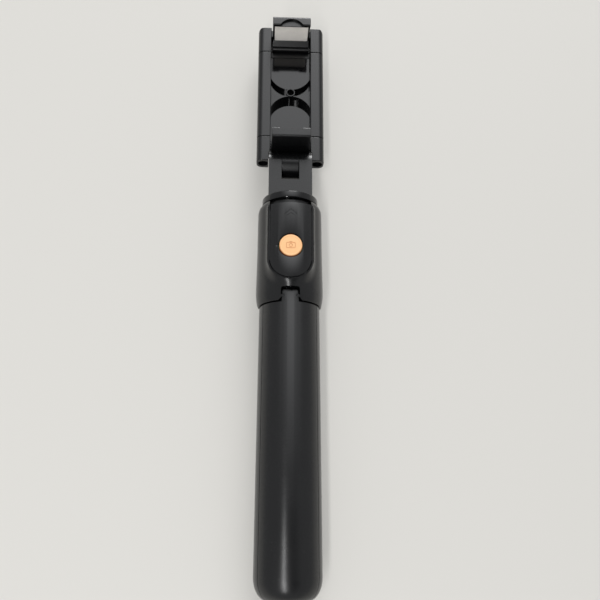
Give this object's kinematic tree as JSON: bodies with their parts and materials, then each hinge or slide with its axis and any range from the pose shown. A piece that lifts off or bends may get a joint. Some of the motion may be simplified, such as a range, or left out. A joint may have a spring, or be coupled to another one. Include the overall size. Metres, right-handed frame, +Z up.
{
  "type": "selfie stick",
  "caption": "Folding selfie stick: tripod-leg handle round a telescopic pole, clip-in remote with round button, and a swivel and tilt phone clamp with folding jaws.",
  "frame": {"origin": "middle of the lowest plane of the folded stick as it lies on its back", "axes": "+Y along the stick from the feet to the phone clamp, +X across it, +Z up through the shutter button"},
  "size_m": [0.0368, 0.3074, 0.0372],
  "materials": {
    "satin_black": "satin moulded, fine grain",
    "gloss_black": "gloss",
    "foot_rubber": "matte",
    "jaw_rubber": "matte silicone",
    "button_peach": "satin",
    "steel": "machined",
    "tube_metal": "black plated",
    "board_green": "solder mask",
    "clear_lens": "polished"
  },
  "bodies": {
    "head": {"head_front_shell": "satin_black", "head_rear_shell": "satin_black", "tube_socket": "satin_black", "head_screw_right_lower": "steel", "head_screw_left_lower": "steel", "head_screw_right_upper": "steel", "head_screw_left_upper": "steel", "leg_pin_front": "steel", "leg_pin_right": "steel", "leg_pin_left": "steel", "tube_1": "tube_metal"},
    "leg_front": {"leg_front": "satin_black", "foot_pad_front": "foot_rubber"},
    "leg_right": {"leg_right": "satin_black", "foot_pad_right": "foot_rubber"},
    "leg_left": {"leg_left": "satin_black", "foot_pad_left": "foot_rubber"},
    "remote": {"remote_cover": "satin_black", "remote_case": "satin_black", "circuit_board": "board_green", "dome_switch": "steel", "coin_cell": "steel", "light_pipe": "clear_lens"},
    "button": {"shutter_button": "button_peach"},
    "tube_2": {"tube_2": "tube_metal"},
    "tube_3": {"tube_3": "tube_metal"},
    "tube_4": {"tube_4": "tube_metal"},
    "tube_5": {"tube_5": "tube_metal"},
    "tube_6": {"tube_6": "tube_metal"},
    "tube_7": {"tube_7": "tube_metal", "swivel_collar": "gloss_black"},
    "yoke": {"yoke": "satin_black", "swivel_washer": "steel", "swivel_screw": "steel", "tilt_bolt": "steel", "tilt_nut": "steel"},
    "clamp": {"clamp_lower_bracket": "satin_black", "clamp_body": "satin_black", "lower_jaw_pin": "steel", "return_spring_right": "steel", "return_spring_left": "steel", "bracket_screw_right": "steel", "bracket_screw_left": "steel"},
    "clamp_top": {"clamp_top_bracket": "satin_black", "upper_jaw_pin": "steel", "guide_rod_right": "steel", "guide_rod_left": "steel", "rod_nut_right": "steel", "rod_nut_left": "steel"},
    "lower_jaw": {"lower_jaw": "satin_black", "lower_jaw_pad": "jaw_rubber"},
    "upper_jaw": {"upper_jaw": "satin_black", "upper_jaw_pad": "jaw_rubber"}
  },
  "joints": [
    {"name": "leg_front_hinge", "type": "hinge", "parent": "head", "child": "leg_front", "pos_m": [0, -0.0098, 0.0309], "axis": [-1, 0, 0], "range_deg": [0, 55]},
    {"name": "leg_right_hinge", "type": "hinge", "parent": "head", "child": "leg_right", "pos_m": [0.0123, -0.0098, 0.0096], "axis": [0.5, 0, 0.866], "range_deg": [0, 55]},
    {"name": "leg_left_hinge", "type": "hinge", "parent": "head", "child": "leg_left", "pos_m": [-0.0123, -0.0098, 0.0096], "axis": [0.5, 0, -0.866], "range_deg": [0, 55]},
    {"name": "remote_slide", "type": "slide", "parent": "head", "child": "remote", "axis": [0, 1, 0], "range_m": [0, 0.015]},
    {"name": "button_press", "type": "slide", "parent": "remote", "child": "button", "axis": [0, 0, -1], "range_m": [0, 0.0005], "stiffness_N_per_m": 3000},
    {"name": "tube_2_slide", "type": "slide", "parent": "head", "child": "tube_2", "axis": [0, 1, 0], "range_m": [0, 0.155]},
    {"name": "tube_3_slide", "type": "slide", "parent": "tube_2", "child": "tube_3", "axis": [0, 1, 0], "range_m": [0, 0.155]},
    {"name": "tube_4_slide", "type": "slide", "parent": "tube_3", "child": "tube_4", "axis": [0, 1, 0], "range_m": [0, 0.155]},
    {"name": "tube_5_slide", "type": "slide", "parent": "tube_4", "child": "tube_5", "axis": [0, 1, 0], "range_m": [0, 0.155]},
    {"name": "tube_6_slide", "type": "slide", "parent": "tube_5", "child": "tube_6", "axis": [0, 1, 0], "range_m": [0, 0.155]},
    {"name": "tube_7_slide", "type": "slide", "parent": "tube_6", "child": "tube_7", "axis": [0, 1, 0], "range_m": [0, 0.155]},
    {"name": "swivel", "type": "hinge", "parent": "tube_7", "child": "yoke", "pos_m": [0, 0.0473, 0.0167], "axis": [0, 1, 0], "continuous": true},
    {"name": "clamp_tilt", "type": "hinge", "parent": "yoke", "child": "clamp", "pos_m": [0, 0.0686, 0.0167], "axis": [1, 0, 0], "range_deg": [-90, 45]},
    {"name": "clamp_slide", "type": "slide", "parent": "clamp", "child": "clamp_top", "axis": [0, 1, 0], "range_m": [0, 0.025], "stiffness_N_per_m": 250, "springref_m": -0.012, "deforming": ["return_spring_right", "return_spring_left"]},
    {"name": "lower_jaw_fold", "type": "hinge", "parent": "clamp", "child": "lower_jaw", "pos_m": [0, 0.0811, 0.0151], "axis": [-1, 0, 0], "range_deg": [0, 90]},
    {"name": "upper_jaw_fold", "type": "hinge", "parent": "clamp_top", "child": "upper_jaw", "pos_m": [0, 0.1435, 0.0151], "axis": [1, 0, 0], "range_deg": [0, 90]}
  ]
}
